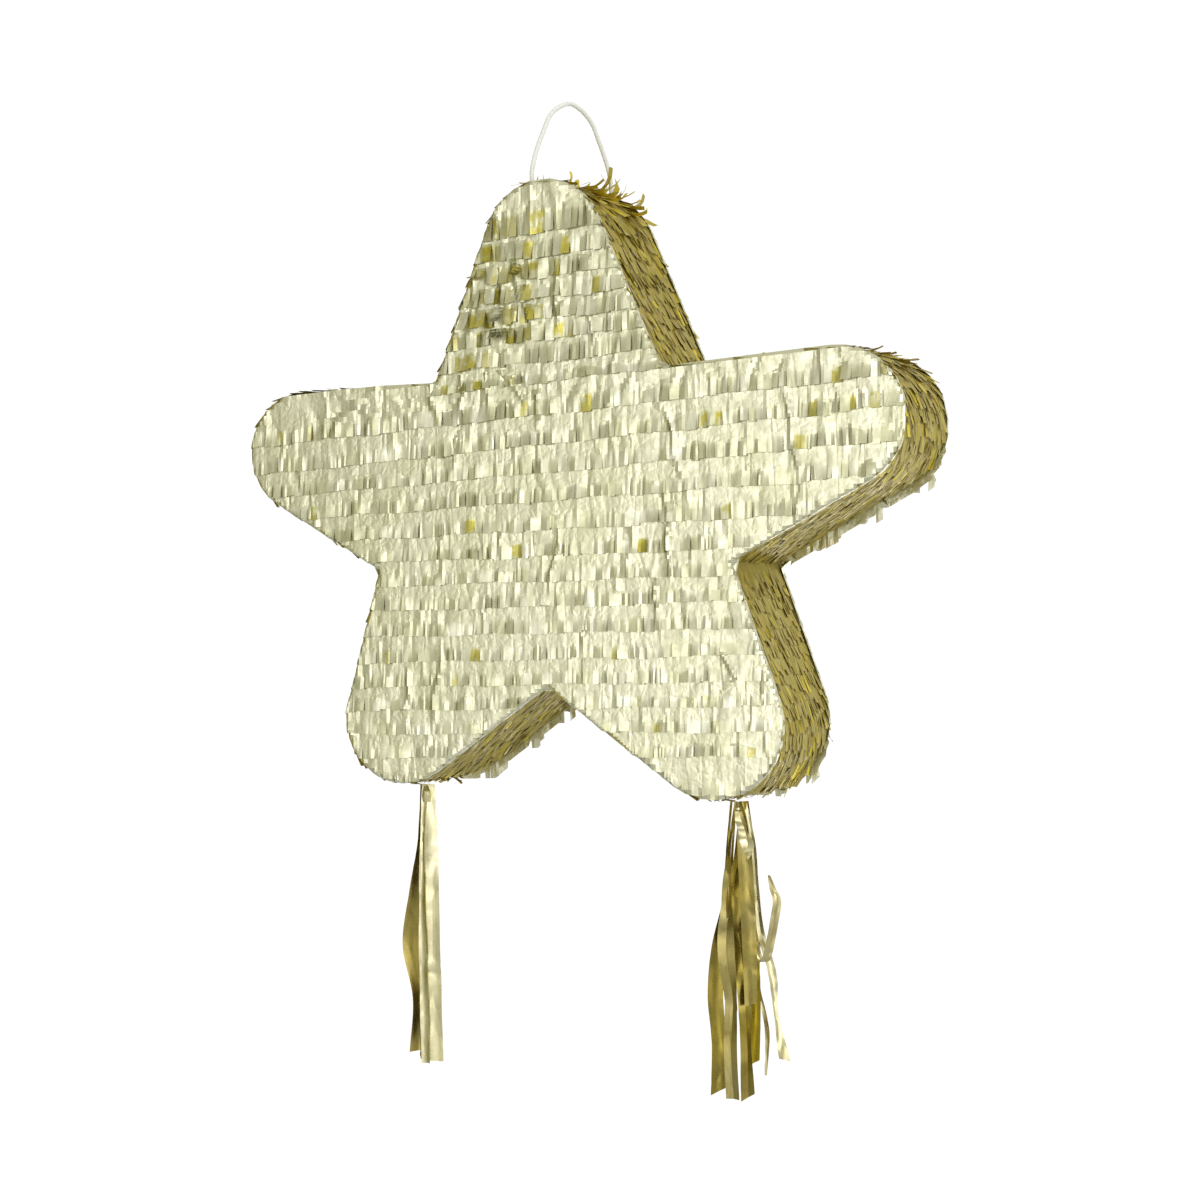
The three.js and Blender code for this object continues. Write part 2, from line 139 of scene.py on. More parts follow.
FOLD_START = 1.3  # what is past the edge by less than this slants back at it
WRAP = 3.6  # what is past the edge by up to this folds round it
EDGE_BEVEL = 0.8  # how far out and back that slant goes
FACE_GROWTH = 1.2  # from the panel's outline out to the face fringe's
SIDE_GROWTH = 0.3  # from the panel's outline out to the side fringe's inner face
SIDE_PITCH = 7.2  # from one strip of a side to the next
SIDE_OVERLAP = 1.7  # a side strip's length, as a share of the pitch
SIDE_STIFFNESS = 0.75  # 1 for flaps that stand straight off a curved tip
SEED = 41

# ---- hanging cord: metres along the line of its two exits, and above the swing line ----
CORD_DIAMETER = 0.0022
CORD_EXIT = (0.0085, 0.028)
CORD_SWING_LINE = -0.0365
CORD_HALF = [
    (0.02926, -0.0035), (0.0293, 0.0012), (0.0284, 0.005), (0.0266, 0.010), (0.024, 0.0155),
    (0.0204, 0.022), (0.0156, 0.0298), (0.0086, 0.035),
]
CORD_TOP = (0, 0.0376)
CORD_AROUND = 24  # faces round the cord
CORD_PLIES = 3
CORD_LAY = 0.008  # one turn of the plies

# ---- tassels ----
STREAMER_ROWS = 56
STREAMER_COLUMNS = 5
STREAMER_START = 0.8  # from the neck's top up to the streamers' ends


# -------- measures from the frame


def node_points(name):
    """A CAD node's vertices in millimetres."""
    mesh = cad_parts[name].data
    flat = np.empty(len(mesh.vertices) * 3)
    mesh.vertices.foreach_get("co", flat)
    return flat.reshape(-1, 3) / MM


def panel_outline():
    """The front panel's outline as [x, z] points, counter-clockwise."""
    points = np.unique(np.round(node_points("front_panel")[:, [0, 2]], 2), axis=0)
    middle = (points.min(axis=0) + points.max(axis=0)) / 2
    turned = points - middle
    return points[np.argsort(np.arctan2(turned[:, 1], turned[:, 0]))]


def grown(outline, distance):
    """An outline moved outwards, with its sides kept parallel."""
    before = outline - np.roll(outline, 1, axis=0)
    after = np.roll(outline, -1, axis=0) - outline
    normals = []
    for edge in (before, after):
        edge = edge / np.linalg.norm(edge, axis=1, keepdims=True)
        normals.append(np.stack([edge[:, 1], -edge[:, 0]], axis=1))
    mitre = 1 + (normals[0] * normals[1]).sum(axis=1, keepdims=True)
    return outline + distance * (normals[0] + normals[1]) / mitre


def long_edge(points, side):
    """The long straight edge along the bottom (side 1) or top (side -1) of some [x, z] points.

    Returns the edge's height at x = 0 and its slope, or None where the edge is short.
    """
    best, best_reach = None, 20
    for start in points:
        for finish in points[points[:, 0] > start[0] + best_reach]:
            slope = (finish[1] - start[1]) / (finish[0] - start[0])
            height = start[1] - slope * start[0]
            beyond = side * (points[:, 1] - height - slope * points[:, 0])
            if beyond.min() > -0.05 and finish[0] - start[0] > best_reach:
                best, best_reach = (height, slope), finish[0] - start[0]
    return best


def strip_measures(name):
    """Where a front strip lies: its sides, its top and end lines, and its header's height."""
    points = node_points(name)
    outer = points[points[:, 1] < points[:, 1].min() + 0.05][:, [0, 2]]
    outer = np.unique(np.round(outer, 2), axis=0)
    top = long_edge(outer, -1)
    end = long_edge(outer, 1) or (points[:, 2].min() - 3, 0.0)
    header = (points[:, 2] - top[0] - top[1] * points[:, 0]).max()
    shows = header > FULL_HEADER
    return {
        "left": points[:, 0].min() - WRAP,
        "right": points[:, 0].max() + WRAP,
        "top": top,
        "end": end,
        "header": header if shows else TUCK,
        "header_shows": shows,
    }


PANEL_OUTLINE = panel_outline()
FACE_OUTLINE = grown(PANEL_OUTLINE, FACE_GROWTH)
STAR_MIDDLE = PANEL_OUTLINE.mean(axis=0)
FRONT_FACE = -node_points("front_panel")[:, 1].min()
FRONT_STRIPS = sorted(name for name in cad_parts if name.startswith("front_fringe_"))


# -------- meshes


def make_piece(name, points, faces, material, tones=None, sharp=38):
    """A smooth mesh object from points in millimetres, without the points that no face uses."""
    faces = np.asarray(faces)
    used, inverse = np.unique(faces, return_inverse=True)
    mesh = bpy.data.meshes.new(name)
    mesh.from_pydata(points[used] * MM, [], inverse.reshape(faces.shape))
    mesh.polygons.foreach_set("use_smooth", np.ones(len(faces), bool))
    mesh.set_sharp_from_angle(angle=math.radians(sharp))
    for tone_name, values in (tones or {}).items():
        attribute = mesh.attributes.new(tone_name, "FLOAT", "POINT")
        attribute.data.foreach_set("value", values[used].astype(np.float32))
    mesh.materials.append(material)
    piece = bpy.data.objects.new(name, mesh)
    bpy.context.scene.collection.objects.link(piece)
    return piece


def fringe_piece(node, body, strip, material):
    """A piece of fringe, from its (points, faces, tones), in place of its CAD node."""
    points, faces, tones = strip
    piece = make_piece(f"{node}_foil", points, faces, material, tones, FRINGE_SHARP)
    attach(piece, body)
    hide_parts(node)


def joined(parts):
    """Several (points, faces, tones) as one."""
    points = np.concatenate([part[0] for part in parts])
    starts = np.cumsum([0] + [len(part[0]) for part in parts[:-1]])
    faces = np.concatenate([part[1] + start for part, start in zip(parts, starts)])
    tones = {key: np.concatenate([part[2][key] for part in parts]) for key in parts[0][2]}
    return points, faces, tones


def grid_faces(index):
    """Faces over a grid of point numbers, with rows from the top down and columns rightwards."""
    corners = (index[:-1, :-1], index[1:, :-1], index[1:, 1:], index[:-1, 1:])
    return np.stack([corner.ravel() for corner in corners], axis=1)


# -------- fringe


def make_wrinkles(rng, left, right, spacing, height, widths=(0.5, 1.9), slant=0.16):
    """A function of (u, h) that raises soft folds, running mostly down a strip."""
    count = max(2, int((right - left) / spacing))
    place = rng.uniform(left, right, count)
    lean = rng.normal(0, slant, count)
    width = rng.uniform(*widths, count)
    rise = height * rng.normal(0, 1, count) * (0.5 + 0.5 * rng.random(count))
    wave = rng.uniform(0, 2 * math.pi, count)

    def wrinkles(u, h):
        bend = u[..., None] - place - lean * (h[..., None] - h.mean()) - 0.5 * np.sin(h[..., None] / 3 + wave)
        return (rise * np.exp(-((bend / width) ** 2))).sum(axis=-1)

    return wrinkles


def strip_header(rng, measures, columns, tops, ends, roots, style):
    """The uncut part of a strip: a grid of points from its tucked-in edge down to the roots."""
    under, proud = style["depth"]
    span = measures["left"], measures["right"]
    above = max(1, round(measures["header"] / HEADER_STEP))
    shares = np.concatenate([-np.arange(above, 0, -1) / above, np.arange(HEADER_ROWS + 1) / HEADER_ROWS])
    shares = shares[:, None]
    heights = tops - shares * np.where(shares < 0, measures["header"], tops - roots)
    along = np.broadcast_to(columns, heights.shape)
    slope = np.clip((tops - heights) / (tops - ends), 0, 1)
    wrinkles = make_wrinkles(rng, *span, 4.5, style["fold"])
    facets = style["facet"] * rng.normal(0, 1, (2, len(columns)))
    fall = np.linspace(0, 1, len(shares))[:, None]
    out = under + (proud - under) * slope + wrinkles(along, heights)
    out = out + 0.6 * (facets[0] * (1 - fall) + facets[1] * fall)
    if measures["header_shows"]:
        out += make_wrinkles(rng, *span, 5, 0.7, (0.9, 2.6), 0.8)(along, heights)
    return np.stack([along, heights, np.maximum(0.12, out)], axis=-1)


def flap_columns(flaps):
    """For each flap, the numbers of the header's columns that it hangs from."""
    return FLAP_ACROSS * np.arange(flaps)[:, None, None] + np.arange(FLAP_ACROSS + 1)


def strip_flaps(rng, cuts, root_line, ends, wild, style):
    """The points of all the flaps that hang from a line of points, by flap, row and column."""
    under, proud = style["depth"]
    flaps = len(cuts) - 1
    column = flap_columns(flaps)
    root_u, root_h, root_out = (root_line[column, axis] for axis in range(3))
    across = np.linspace(-0.5, 0.5, FLAP_ACROSS + 1)
    down = (np.arange(1, FLAP_DOWN + 1) / FLAP_DOWN)[:, None]
    width = np.diff(cuts)[:, None, None]
    wild = wild[:, None, None]

    def drawn(spread):
        return spread * rng.normal(0, 1, (flaps, 1, 1))

    length = root_h - ends[column] + drawn(style["ragged"]) * (1 + wild)
    lift = np.radians(np.abs(drawn(1)) * (1.2 + 11 * wild))
    jumps = rng.random((flaps, 1, 1)) < 0.5 * np.maximum(0, wild - 0.6)
    lift = lift + jumps * np.radians(rng.uniform(15, 60, (flaps, 1, 1)))
    curl = drawn(0.02 + 0.08 * wild)
    yaw = np.radians(drawn(1) * (style["turn"] + 12 * wild))
    skew = drawn(style["slant"] + 0.05 * wild)
    creased = drawn(0.09 + 0.1 * wild) * (1 - 4 * across**2)
    creased = creased + style["facet"] * rng.normal(0, 1, (flaps, 1, FLAP_ACROSS + 1))
    spread = np.minimum(1, down / 0.35)
    travel = length * down
    flap_u = root_u + skew * travel - across * width * (1 - np.cos(yaw)) * spread
    flap_h = root_h - travel * np.cos(lift * down)
    base_out = root_out + (proud + 0.25 * rng.random((flaps, 1, 1)) - root_out) * down
    flap_out = (
        base_out
        + travel * np.sin(lift) * (0.4 + 0.6 * down)
        + curl * length * down**2
        + across * width * np.sin(yaw) * spread
        + creased * spread
    )
    return np.stack(np.broadcast_arrays(flap_u, flap_h, np.maximum(flap_out, under)), axis=-1)


def fringe_strip(rng, measures, mess, style):
    """One strip of fringe laid flat, in (u, h, w): along it, up it, and out from the panel.

    measures is as from strip_measures: the top line is the edge of the strip above, and the end
    line is where the cut ends are. mess(u, h) is 0 for flaps that lie flat and 1 for wild ones.
    Returns points, the height of the root of the flap that each is on, faces and tones.
    """
    cuts = [measures["left"]]
    while cuts[-1] < measures["right"] - style["widths"][0]:
        cuts.append(cuts[-1] + rng.uniform(*style["widths"]))
    cuts = np.array(cuts)
    flaps = len(cuts) - 1
    columns = np.interp(np.arange(flaps * FLAP_ACROSS + 1) / FLAP_ACROSS, np.arange(flaps + 1), cuts)
    wave = 0.4 * np.sin(columns / rng.uniform(7, 14) + rng.uniform(0, 6))
    tops, ends = (height + slope * columns for height, slope in (measures["top"], measures["end"]))
    ends = ends + wave
    root_share = np.interp(columns, cuts, style["uncut"] + rng.normal(0, 0.05, flaps + 1))
    roots = tops - (tops - ends) * root_share

    header_points = strip_header(rng, measures, columns, tops, ends, roots, style)
    wild = mess(cuts[:-1] + np.diff(cuts) / 2, ends[:-1:FLAP_ACROSS])
    flap_points = strip_flaps(rng, cuts, header_points[-1], ends, wild, style)
    points = np.concatenate([header_points.reshape(-1, 3), flap_points.reshape(-1, 3)])

    header_shape, flap_shape = header_points.shape[:2], flap_points.shape[:3]
    header_index = np.arange(math.prod(header_shape)).reshape(header_shape)
    flap_index = header_index.size + np.arange(math.prod(flap_shape)).reshape(flap_shape)
    faces = [grid_faces(header_index)]
    for flap in range(flaps):
        first = flap * FLAP_ACROSS
        root_index = header_index[-1, first : first + FLAP_ACROSS + 1]
        faces.append(grid_faces(np.vstack([root_index, flap_index[flap]])))
    flap_roots = np.broadcast_to(roots[flap_columns(flaps)], flap_shape)
    root_heights = np.concatenate([header_points[..., 1].ravel(), flap_roots.ravel()])

    # Painted gold reflection: wilder flaps are likelier to get deep gold, and flat ones get it at the style's
    # glint share.
    gold_chance = style["glint_share"] + 0.85 * wild**2
    gold = (rng.random(flaps) < gold_chance) * rng.uniform(0.35, 1, flaps)
    # Painted sheen: a random brightness for each flap, for the light it reflects; headers get the middle one.
    painted_sheen = rng.random(flaps)
    tones = {}
    for key, of_header, of_flaps in (("gold", 0, gold), ("painted_sheen", 0.5, painted_sheen), ("loose", 0, np.ones(flaps))):
        of_flap_points = np.repeat(of_flaps, FLAP_DOWN * (FLAP_ACROSS + 1))
        tones[key] = np.concatenate([np.full(header_index.size, of_header), of_flap_points])
    return points, root_heights, np.concatenate(faces), tones


# -------- the two faces


def nearest_on(outline, points):
    """Each point's nearest place on a closed outline, its distance, and whether it is inside."""
    start = outline[None, :, :]
    edge = np.roll(outline, -1, axis=0)[None, :, :] - start
    offset = points[:, None, :] - start
    share = np.clip((offset * edge).sum(axis=2) / (edge**2).sum(axis=2), 0, 1)
    places = start + share[..., None] * edge
    gaps = np.linalg.norm(points[:, None, :] - places, axis=2)
    best = gaps.argmin(axis=1)
    rows = np.arange(len(points))
    spans = (start[..., 1] > points[:, None, 1]) != (start[..., 1] + edge[..., 1] > points[:, None, 1])
    with np.errstate(divide="ignore", invalid="ignore"):
        crossing = start[..., 0] + edge[..., 0] * (points[:, None, 1] - start[..., 1]) / edge[..., 1]
    inside = (spans & (points[:, None, 0] < crossing)).sum(axis=1) % 2 == 1
    return places[rows, best], gaps[rows, best], inside


def wrapped(points, faces, back, overhang=0):
    """Folds a face's fringe round the star's edge, and drops what is past the fold.

    back is the direction, along Y, that leads from the fringe's face into the star. Where the
    edge faces down, the flaps hang past it by overhang instead.
    """
    flat = points[:, [0, 2]]
    places, gaps, inside = nearest_on(FACE_OUTLINE, flat)
    downward = np.clip((places[:, 1] - flat[:, 1]) / np.maximum(gaps, 0.001), 0, 1)
    hanging = np.where(inside, 0, overhang * downward)
    slanting = np.where(inside, 0, EDGE_BEVEL * np.minimum(1, gaps / FOLD_START))
    share = np.where(inside, 1, np.minimum(1, np.maximum(slanting, hanging) / np.maximum(gaps, 0.001)))
    drop = slanting + np.where(inside, 0, np.clip(gaps - FOLD_START, 0, WRAP - FOLD_START))
    folded = points.copy()
    folded[:, 1] += back * drop * np.clip(1 - hanging / 2, 0, 1)
    folded[:, [0, 2]] = places + (flat - places) * share[:, None]
    kept = (inside | (gaps < np.maximum(WRAP, hanging)))[faces].any(axis=1)
    return folded, faces[kept]


def cut_to_rectangle(points, faces, low, high, keep_inside):
    """Trims a face's fringe to the inside or the outside of an upright rectangle."""
    corners = np.array([[low[0], low[1]], [high[0], low[1]], [high[0], high[1]], [low[0], high[1]]])
    places, _, inside = nearest_on(corners, points[:, [0, 2]])
    kept = inside if keep_inside else ~inside
    trimmed = points.copy()
    trimmed[~kept, 0] = places[~kept, 0]
    trimmed[~kept, 2] = places[~kept, 1]
    return trimmed, faces[kept[faces].any(axis=1)]


def face_mess(x, z):
    """How wild the flaps of a face are at a place: most in the top point, least in the middle."""
    top = np.exp(-(((x + 22) / 34) ** 2) - ((z - STAR_MIDDLE[1] - 98) / 48) ** 2)
    right = np.exp(-(((x - 150) / 26) ** 2) - ((z - STAR_MIDDLE[1] - 34) / 34) ** 2)
    return 0.12 + 0.8 * top + 0.35 * right


def face_creases(seed):
    """A function of (x, z) for the long creases of one face."""
    rng = np.random.default_rng(seed)
    low, high = PANEL_OUTLINE.min(axis=0), PANEL_OUTLINE.max(axis=0)
    creases = []
    for _ in range(LONG_CREASES):
        x, z = rng.uniform(low + 20, high - 20)
        reach, width = rng.uniform(7, 26), rng.uniform(0.6, 1.4)
        height, lean, phase = rng.uniform(0.35, 0.8), rng.normal(0, 0.14), rng.uniform(0, 6)
        creases.append((x, z, reach, width, height, lean, phase))

    def rise(x, z):
        total = np.zeros(len(x))
        for middle_x, middle_z, reach, width, height, lean, phase in creases:
            bend = lean * (z - middle_z) + 0.9 * np.sin(z / 4 + phase)
            aside = (x - middle_x - bend) / width
            total += height * np.exp(-(aside**2) - ((z - middle_z) / reach) ** 4)
        return total

    return rise


def front_strip(name, order, creases, material):
    """One strip of the front's fringe, in place of its CAD node."""
    rng = np.random.default_rng(SEED + order)
    measures = strip_measures(name)
    narrow = measures["right"] - measures["left"] < TOP_POINT_WIDTH
    in_top_point = narrow and measures["top"][0] > STAR_MIDDLE[1] + TOP_POINT_START
    style = TOP_POINT_STYLE if in_top_point else FACE_STYLE
    points, _, faces, tones = fringe_strip(rng, measures, face_mess, style)
    out = points[:, 2] + creases(points[:, 0], points[:, 1])
    placed = np.stack([points[:, 0], -FRONT_FACE - out, points[:, 1]], axis=1)
    placed, faces = wrapped(placed, faces, 1)
    fringe_piece(name, "star", (placed, faces, tones), material)


def back_strip(rng, measures, creases):
    """One level strip of the back's fringe."""
    mirrored = {
        **measures,
        "left": -measures["right"],
        "right": -measures["left"],
        "top": (measures["top"][0], 0),
        "end": (measures["end"][0], 0),
    }

    def mess(x, z):
        return face_mess(-x, z) * 0.5

    points, _, faces, tones = fringe_strip(rng, mirrored, mess, BACK_STYLE)
    out = points[:, 2] + creases(-points[:, 0], points[:, 1])
    return np.stack([-points[:, 0], FRONT_FACE + out, points[:, 1]], axis=1), faces, tones


def back_fringe(creases, material):
    """The back's fringe, one piece over each CAD zone, left open where the fill flap is."""
    low, high = (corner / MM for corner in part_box("fill_flap"))
    hole_low, hole_high = (low.x - 0.5, low.z - 0.5), (high.x + 0.5, high.z + 0.5)
    zones = {}
    for order, name in enumerate(FRONT_STRIPS):
        rng = np.random.default_rng(SEED + 100 + order)
        measures = strip_measures(name)
        height = measures["end"][0] - STAR_MIDDLE[1]
        if name.endswith("_left") or name.endswith("_right"):
            zone = "lower_" + name.split("_")[-1]
        elif height > TOP_POINT_START:
            zone = "top"
        else:
            zone = "body"
        placed, faces, tones = back_strip(rng, measures, creases)
        # The flap's painted sheen draw also sets how far it hangs past the edge.
        placed, faces = wrapped(placed, faces, -1, BACK_OVERHANG * tones["painted_sheen"])
        placed, faces = cut_to_rectangle(placed, faces, hole_low, hole_high, False)
        zones.setdefault(zone, []).append((placed, faces, tones))
    for zone, parts in zones.items():
        fringe_piece(f"back_fringe_{zone}", "star", joined(parts), material)


def flap_fringe(creases, material):
    """The fringe on the fill flap."""
    low, high = (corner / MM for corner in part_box("fill_flap_fringe"))
    parts = []
    for order, name in enumerate(FRONT_STRIPS):
        measures = strip_measures(name)
        top, end = measures["top"][0], measures["end"][0]
        if end > high.z - 3 or top < low.z + 2:
            continue
        measures.update(left=low.x, right=high.x, top=(min(top, high.z), 0), end=(end, 0))
        rng = np.random.default_rng(SEED + 200 + order)
        placed, faces, tones = back_strip(rng, measures, creases)
        placed, faces = cut_to_rectangle(placed, faces, (low.x, low.z), (high.x, high.z), True)
        parts.append((placed, faces, tones))
    fringe_piece("fill_flap_fringe", "fill_flap", joined(parts), material)


# -------- the sides


def side_paths():
    """The way round each point of the star, from one inner corner to the next."""
    outline = grown(PANEL_OUTLINE, SIDE_GROWTH)
    radius = np.linalg.norm(outline - STAR_MIDDLE, axis=1)
    corners = [
        index
        for index in range(len(outline))
        if radius[index] < radius[index - 1] and radius[index] < radius[(index + 1) % len(outline)]
    ]
    names = {}
    for start, finish in zip(corners, corners[1:] + [corners[0] + len(outline)]):
        path = outline[np.arange(start, finish + 1) % len(outline)]
        middle = path.mean(axis=0) - STAR_MIDDLE
        if abs(middle[0]) < 30:
            name = "top"
        else:
            side = "right" if middle[0] > 0 else "left"
            name = side if middle[1] > 0 else f"lower_{side}"
        names[name] = path
    return names


class Path:
    """A run of [x, z] points, measured along itself."""

    def __init__(self, points):
        steps = np.linalg.norm(np.diff(points, axis=0), axis=1)
        self.marks = np.concatenate([[0], np.cumsum(steps)])
        self.length = self.marks[-1]
        self.points = points

    def at(self, distance):
        inside = np.clip(distance, 0, self.length)
        return np.stack([np.interp(inside, self.marks, self.points[:, axis]) for axis in (0, 1)], axis=-1)

    def ahead(self, distance):
        """The direction of travel, smoothed over a few millimetres."""
        inside = np.clip(distance, 0, self.length)
        step = self.at(inside + 2.5) - self.at(inside - 2.5)
        return step / np.linalg.norm(step, axis=-1, keepdims=True)


def side_mess(name, turn, sign):
    """How wild the flaps are along one point's side: the top point's back bristles most."""

    def mess(u, h):
        y = -sign * u
        from_turn = np.abs(-sign * h - turn)
        if name == "top":
            return 0.24 + 1.6 * np.exp(-((from_turn / 38) ** 2)) * np.clip((y + 30) / 34, 0, 1)
        return 0.14 + 0.42 * np.exp(-((from_turn / 34) ** 2)) * np.clip((y + 20) / 40, 0, 1)

    return mess


def side_strip(rng, path, start, sign, mess, half):
    """A strip across the star's side. Its loose ends run with the path (sign 1) or against it."""
    reach = SIDE_PITCH * SIDE_OVERLAP
    measures = {
        "left": -half,
        "right": half,
        "top": (-sign * start, 0),
        "end": (-sign * start - reach, 0),
        "header": TUCK,
        "header_shows": False,
    }
    points, roots, faces, tones = fringe_strip(rng, measures, mess, SIDE_STYLE)
    distance, root = -sign * points[:, 1], -sign * roots
    root_place, root_ahead = path.at(root), path.ahead(root)
    straight = root_place + root_ahead * (distance - root)[:, None]
    place = path.at(distance) + SIDE_STIFFNESS * (straight - path.at(distance))
    ahead = path.ahead(distance) + SIDE_STIFFNESS * (root_ahead - path.ahead(distance))
    ahead /= np.linalg.norm(ahead, axis=1, keepdims=True)
    place = place + points[:, 2:3] * np.stack([ahead[:, 1], -ahead[:, 0]], axis=1)
    placed = np.stack([place[:, 0], -sign * points[:, 0], place[:, 1]], axis=1)
    return placed, faces, tones


def side_fringe(name, points, order, material):
    """All the strips round one point of the star, in place of its CAD node."""
    rng = np.random.default_rng(SEED + 300 + order)
    _, high = (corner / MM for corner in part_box(f"side_fringe_{name}"))
    path = Path(points)
    hangs_down = name.startswith("lower")
    heights = -points[:, 1] if hangs_down else points[:, 1]
    turn = path.marks[heights.argmax()]
    parts = []
    for from_turn, reach in ((-1, turn), (1, path.length - turn)):
        sign = -from_turn if hangs_down else from_turn
        count = max(1, round(reach / SIDE_PITCH))
        for row in range(count):
            near, far = (turn + from_turn * reach * (row + step) / count for step in (0, 1))
            start = far if hangs_down else near
            start = np.clip(start, 1.5, path.length - 1.5)
            parts.append(side_strip(rng, path, start, sign, side_mess(name, turn, sign), high.y - 0.3))
    fringe_piece(f"side_fringe_{name}", "star", joined(parts), material)


# -------- the cord


def cord_route():
    """The loop's points in metres, from one exit over the hook to the other."""
    reach = math.hypot(*CORD_EXIT)
    direction = Vector((CORD_EXIT[0] / reach, CORD_EXIT[1] / reach, 0))

    def place(along, height):
        return direction * along + Vector((0, 0, CORD_SWING_LINE + height))

    rising = [place(-along, height) for along, height in CORD_HALF]
    falling = [place(along, height) for along, height in reversed(CORD_HALF)]
    return rising + [place(*CORD_TOP)] + falling


def smooth_line(points, steps):
    """A Catmull-Rom curve through some points, with steps places in each span."""
    points = np.array(points, float)
    ends = np.vstack([2 * points[0] - points[1], points, 2 * points[-1] - points[-2]])
    places = []
    for span in range(len(points) - 1):
        a, b, c, d = ends[span : span + 4]
        for t in np.arange(steps) / steps:
            cubic = (-a + 3 * b - 3 * c + d) * t**3 + (2 * a - 5 * b + 4 * c - d) * t**2
            places.append(0.5 * (cubic + (c - a) * t + 2 * b))
    places.append(points[-1])
    return np.array(places)


def twisted_tube(route, radius):
    """A laid cord round a route: its plies wind round it as ridges. Points are in metres."""
    steps = np.linalg.norm(np.diff(route, axis=0), axis=1)
    travel = np.concatenate([[0], np.cumsum(steps)])
    tangent = np.gradient(route, axis=0)
    tangent /= np.linalg.norm(tangent, axis=1, keepdims=True)
    flat = np.array([CORD_EXIT[1], -CORD_EXIT[0], 0]) / math.hypot(*CORD_EXIT)
    side = np.broadcast_to(flat, route.shape)
    upward = np.cross(tangent, side)
    angle = 2 * math.pi * np.arange(CORD_AROUND) / CORD_AROUND
    winding = CORD_PLIES * angle[None, :] - 2 * math.pi * CORD_PLIES * travel[:, None] / CORD_LAY
    size = radius * (0.86 + 0.14 * np.sqrt(np.abs(np.cos(winding / 2))))
    ring = (
        size[..., None] * np.cos(angle)[None, :, None] * side[:, None, :]
        + size[..., None] * np.sin(angle)[None, :, None] * upward[:, None, :]
    )
    points = (route[:, None, :] + ring).reshape(-1, 3)
    index = np.arange(len(route) * CORD_AROUND).reshape(len(route), CORD_AROUND)
    index = np.hstack([index, index[:, :1]])
    return points, grid_faces(index)


def hanging_cord(material):
    """The white loop, which bends where it goes into the star."""
    route = smooth_line(cord_route(), 16)
    points, faces = twisted_tube(route, CORD_DIAMETER / 2)
    piece = make_piece("hanging_cord_loop", points / MM, faces, material)
    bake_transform(piece)
    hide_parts("hanging_cord")


# -------- the tassels
# A streamer's settings: how far down it goes, how deep its crease is and how much painted gold reflection and
# painted shade it gets.
# Then, at even steps down it, its middle's distance across and back from the tassel's, its
# width and the way it faces.

LEFT_STREAMERS = [
    {"drop": 138, "crease": 0.4, "gold": 0.05,
     "x": [1.8, 2.4, 2.8, 3.0, 3.1, 3.2], "y": [0, -1, -1.4, -1.4, -1.2, -1],
     "width": [5.4, 7.2, 7.4, 7.4, 7.4, 7.4], "facing": [6, 16, 4, 2, 4, 6]},
    {"drop": 139, "crease": 0.5, "gold": 0.05,
     "x": [-0.8, -1.6, -2.3, -2.5, -2.3, -2.2], "y": [-1, -2.4, -2.8, -2.6, -2.6, -2.4],
     "width": [2.6, 2.6, 3.4, 4.4, 4.6, 4.6], "facing": [-8, -4, -8, -6, -4, -2]},
    {"drop": 139, "crease": 0.3, "gold": 1,
     "x": [-2.0, -3.6, -4.6, -5.2, -5.0, -4.8], "y": [0.5, 1, 2.2, 2.6, 2.4, 2],
     "width": [3, 5.6, 6.2, 6.4, 6.4, 6.4], "facing": [64, 70, 74, 76, 74, 72]},
    {"drop": 134, "crease": 0.8, "gold": 0.8,
     "x": [-2.6, -4.2, -8.2, -11.8, -8.4, -9.6], "y": [1, 1.6, 2, 2, 2.2, 1.6],
     "width": [2.4, 3.6, 6.8, 8.0, 5.4, 6.4], "facing": [30, 34, 38, 30, 44, 24]},
    {"drop": 136, "crease": 0.6, "gold": 1,
     "x": [1.2, 1.2, 0.8, 0.6, 0.6, 1.0], "y": [2, 3.4, 4, 4, 3.6, 3.4],
     "width": [3, 5.6, 6, 6, 6, 6], "facing": [-24, -20, -16, -20, -16, -20]},
]
